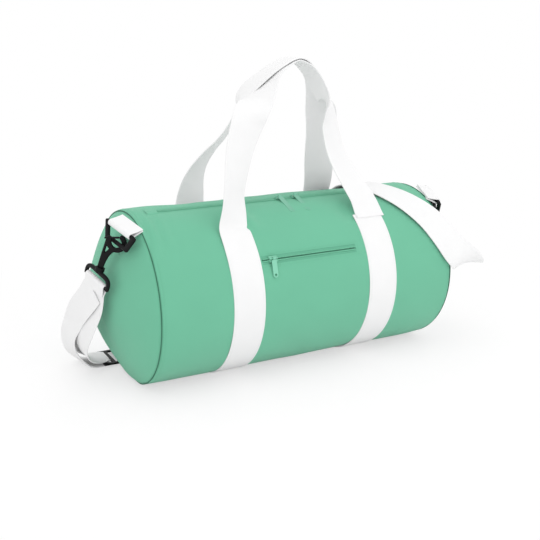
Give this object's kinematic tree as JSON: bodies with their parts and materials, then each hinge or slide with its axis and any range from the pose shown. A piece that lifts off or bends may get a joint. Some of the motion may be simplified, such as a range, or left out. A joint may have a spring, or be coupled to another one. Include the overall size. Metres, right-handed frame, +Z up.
{
  "type": "barrel bag",
  "caption": "Soft barrel-shaped holdall with a zipped top mouth, zipped front pocket, webbing girth handles and a clip-on shoulder strap with swivel snap hooks.",
  "frame": {"origin": "on the floor, under the middle of the barrel", "axes": "+X along the barrel to the picture's right, +Y to the rear, +Z up"},
  "size_m": [0.6961, 0.3154, 0.47],
  "materials": {
    "body_fabric": "mint green coated polyester canvas",
    "lining_fabric": "thin mint lining and binding tape",
    "zip_tape": "dyed woven zip tape",
    "zip_teeth": "dyed nylon coil",
    "painted_zip_metal": "mint enamelled die casting",
    "webbing": "white woven polyester webbing",
    "black_plastic": "moulded black acetal"
  },
  "bodies": {
    "bag": {"body_shell": "body_fabric", "left_end_panel": "body_fabric", "right_end_panel": "body_fabric", "left_zip_stop": "body_fabric", "right_zip_stop": "body_fabric", "pocket_lining": "lining_fabric", "left_seam_binding": "lining_fabric", "right_seam_binding": "lining_fabric", "front_zip_tape": "zip_tape", "rear_zip_tape": "zip_tape", "pocket_lower_tape": "zip_tape", "pocket_upper_tape": "zip_tape", "front_zip_teeth": "zip_teeth", "rear_zip_teeth": "zip_teeth", "pocket_lower_teeth": "zip_teeth", "pocket_upper_teeth": "zip_teeth", "left_girth_webbing": "webbing", "right_girth_webbing": "webbing", "left_tab": "webbing", "right_tab": "webbing", "strap_left_inner": "webbing", "strap_left_outer": "webbing", "strap_floor_run": "webbing", "strap_shoulder": "webbing", "strap_right_fold": "webbing"},
    "left_zip_slider": {"left_zip_slider": "painted_zip_metal"},
    "right_zip_slider": {"right_zip_slider": "painted_zip_metal"},
    "pocket_slider": {"pocket_slider": "painted_zip_metal"},
    "left_zip_pull": {"left_zip_pull": "painted_zip_metal"},
    "right_zip_pull": {"right_zip_pull": "painted_zip_metal"},
    "pocket_pull": {"pocket_pull": "painted_zip_metal"},
    "front_handle": {"front_handle": "webbing"},
    "rear_handle": {"rear_handle": "webbing"},
    "strap_slider": {"strap_slider": "black_plastic"},
    "left_d_ring": {"left_d_ring": "black_plastic"},
    "left_hook": {"left_hook": "black_plastic"},
    "left_gate": {"left_gate": "black_plastic"},
    "left_swivel_base": {"left_swivel_base": "black_plastic", "strap_left_loop": "webbing"},
    "right_d_ring": {"right_d_ring": "black_plastic"},
    "right_hook": {"right_hook": "black_plastic"},
    "right_gate": {"right_gate": "black_plastic"},
    "right_swivel_base": {"right_swivel_base": "black_plastic", "strap_right_loop": "webbing"}
  },
  "joints": [
    {"name": "left_zip_slide", "type": "slide", "parent": "bag", "child": "left_zip_slider", "axis": [-1, 0, 0], "range_m": [-0.006, 0.195]},
    {"name": "right_zip_slide", "type": "slide", "parent": "bag", "child": "right_zip_slider", "axis": [1, 0, 0], "range_m": [-0.006, 0.11]},
    {"name": "pocket_zip_slide", "type": "slide", "parent": "bag", "child": "pocket_slider", "axis": [1, 0, 0], "range_m": [-0.009, 0.129]},
    {"name": "left_pull_hinge", "type": "hinge", "parent": "left_zip_slider", "child": "left_zip_pull", "pos_m": [-0.006, -0.0188, 0.26178], "axis": [-1, 0, 0], "range_deg": [0, 150]},
    {"name": "right_pull_hinge", "type": "hinge", "parent": "right_zip_slider", "child": "right_zip_pull", "pos_m": [0.022, -0.0188, 0.26178], "axis": [-1, 0, 0], "range_deg": [0, 150]},
    {"name": "pocket_pull_hinge", "type": "hinge", "parent": "pocket_slider", "child": "pocket_pull", "pos_m": [-0.071, -0.11873, 0.19246], "axis": [-1, 0, 0], "range_deg": [0, 150]},
    {"name": "rear_handle_swing", "type": "hinge", "parent": "bag", "child": "rear_handle", "pos_m": [0, 0.08042, 0.2329], "axis": [-1, 0, 0], "range_deg": [0, 120]},
    {"name": "front_handle_swing", "type": "hinge", "parent": "bag", "child": "front_handle", "pos_m": [0, -0.08042, 0.2329], "axis": [1, 0, 0], "range_deg": [0, 120]},
    {"name": "strap_slider_slide", "type": "slide", "parent": "bag", "child": "strap_slider", "axis": [1, 0, 0], "range_m": [0, 0.08]},
    {"name": "left_ring_hinge", "type": "hinge", "parent": "bag", "child": "left_d_ring", "pos_m": [-0.27343, -0.0465, 0.2433], "axis": [-0.257, 0.9236, 0.2845], "range_deg": [0, 60], "deforming": ["strap_left_inner", "strap_left_outer"]},
    {"name": "left_hook_pivot", "type": "hinge", "parent": "left_d_ring", "child": "left_hook", "pos_m": [-0.27869, -0.04186, 0.22351], "axis": [-0.257, 0.9236, 0.2845], "range_deg": [0, 40]},
    {"name": "left_gate_press", "type": "hinge", "parent": "left_hook", "child": "left_gate", "pos_m": [-0.28721, -0.0362, 0.2306], "axis": [0.575, 0.8172, 0.0383], "range_deg": [0, 15], "stiffness_Nm_per_rad": 0.05},
    {"name": "left_base_swivel", "type": "hinge", "parent": "left_hook", "child": "left_swivel_base", "pos_m": [-0.29857, -0.02621, 0.1879], "axis": [-0.2507, 0.2206, -0.9426], "range_deg": [-22, 40]},
    {"name": "right_ring_hinge", "type": "hinge", "parent": "bag", "child": "right_d_ring", "pos_m": [0.27343, -0.0465, 0.2433], "axis": [-0.257, -0.9236, -0.2845], "range_deg": [0, 60], "deforming": ["strap_right_fold"]},
    {"name": "right_hook_pivot", "type": "hinge", "parent": "right_d_ring", "child": "right_hook", "pos_m": [0.27869, -0.04186, 0.22351], "axis": [-0.257, -0.9236, -0.2845], "range_deg": [0, 40]},
    {"name": "right_gate_press", "type": "hinge", "parent": "right_hook", "child": "right_gate", "pos_m": [0.28721, -0.0362, 0.2306], "axis": [0.575, -0.8172, -0.0383], "range_deg": [0, 15], "stiffness_Nm_per_rad": 0.05},
    {"name": "right_base_swivel", "type": "hinge", "parent": "right_hook", "child": "right_swivel_base", "pos_m": [0.29857, -0.02621, 0.1879], "axis": [-0.2507, -0.2206, 0.9426], "range_deg": [-58, 4]}
  ],
  "couplings": [
    {"joint": "front_handle_swing", "follows": "rear_handle_swing", "ratio": 1}
  ]
}
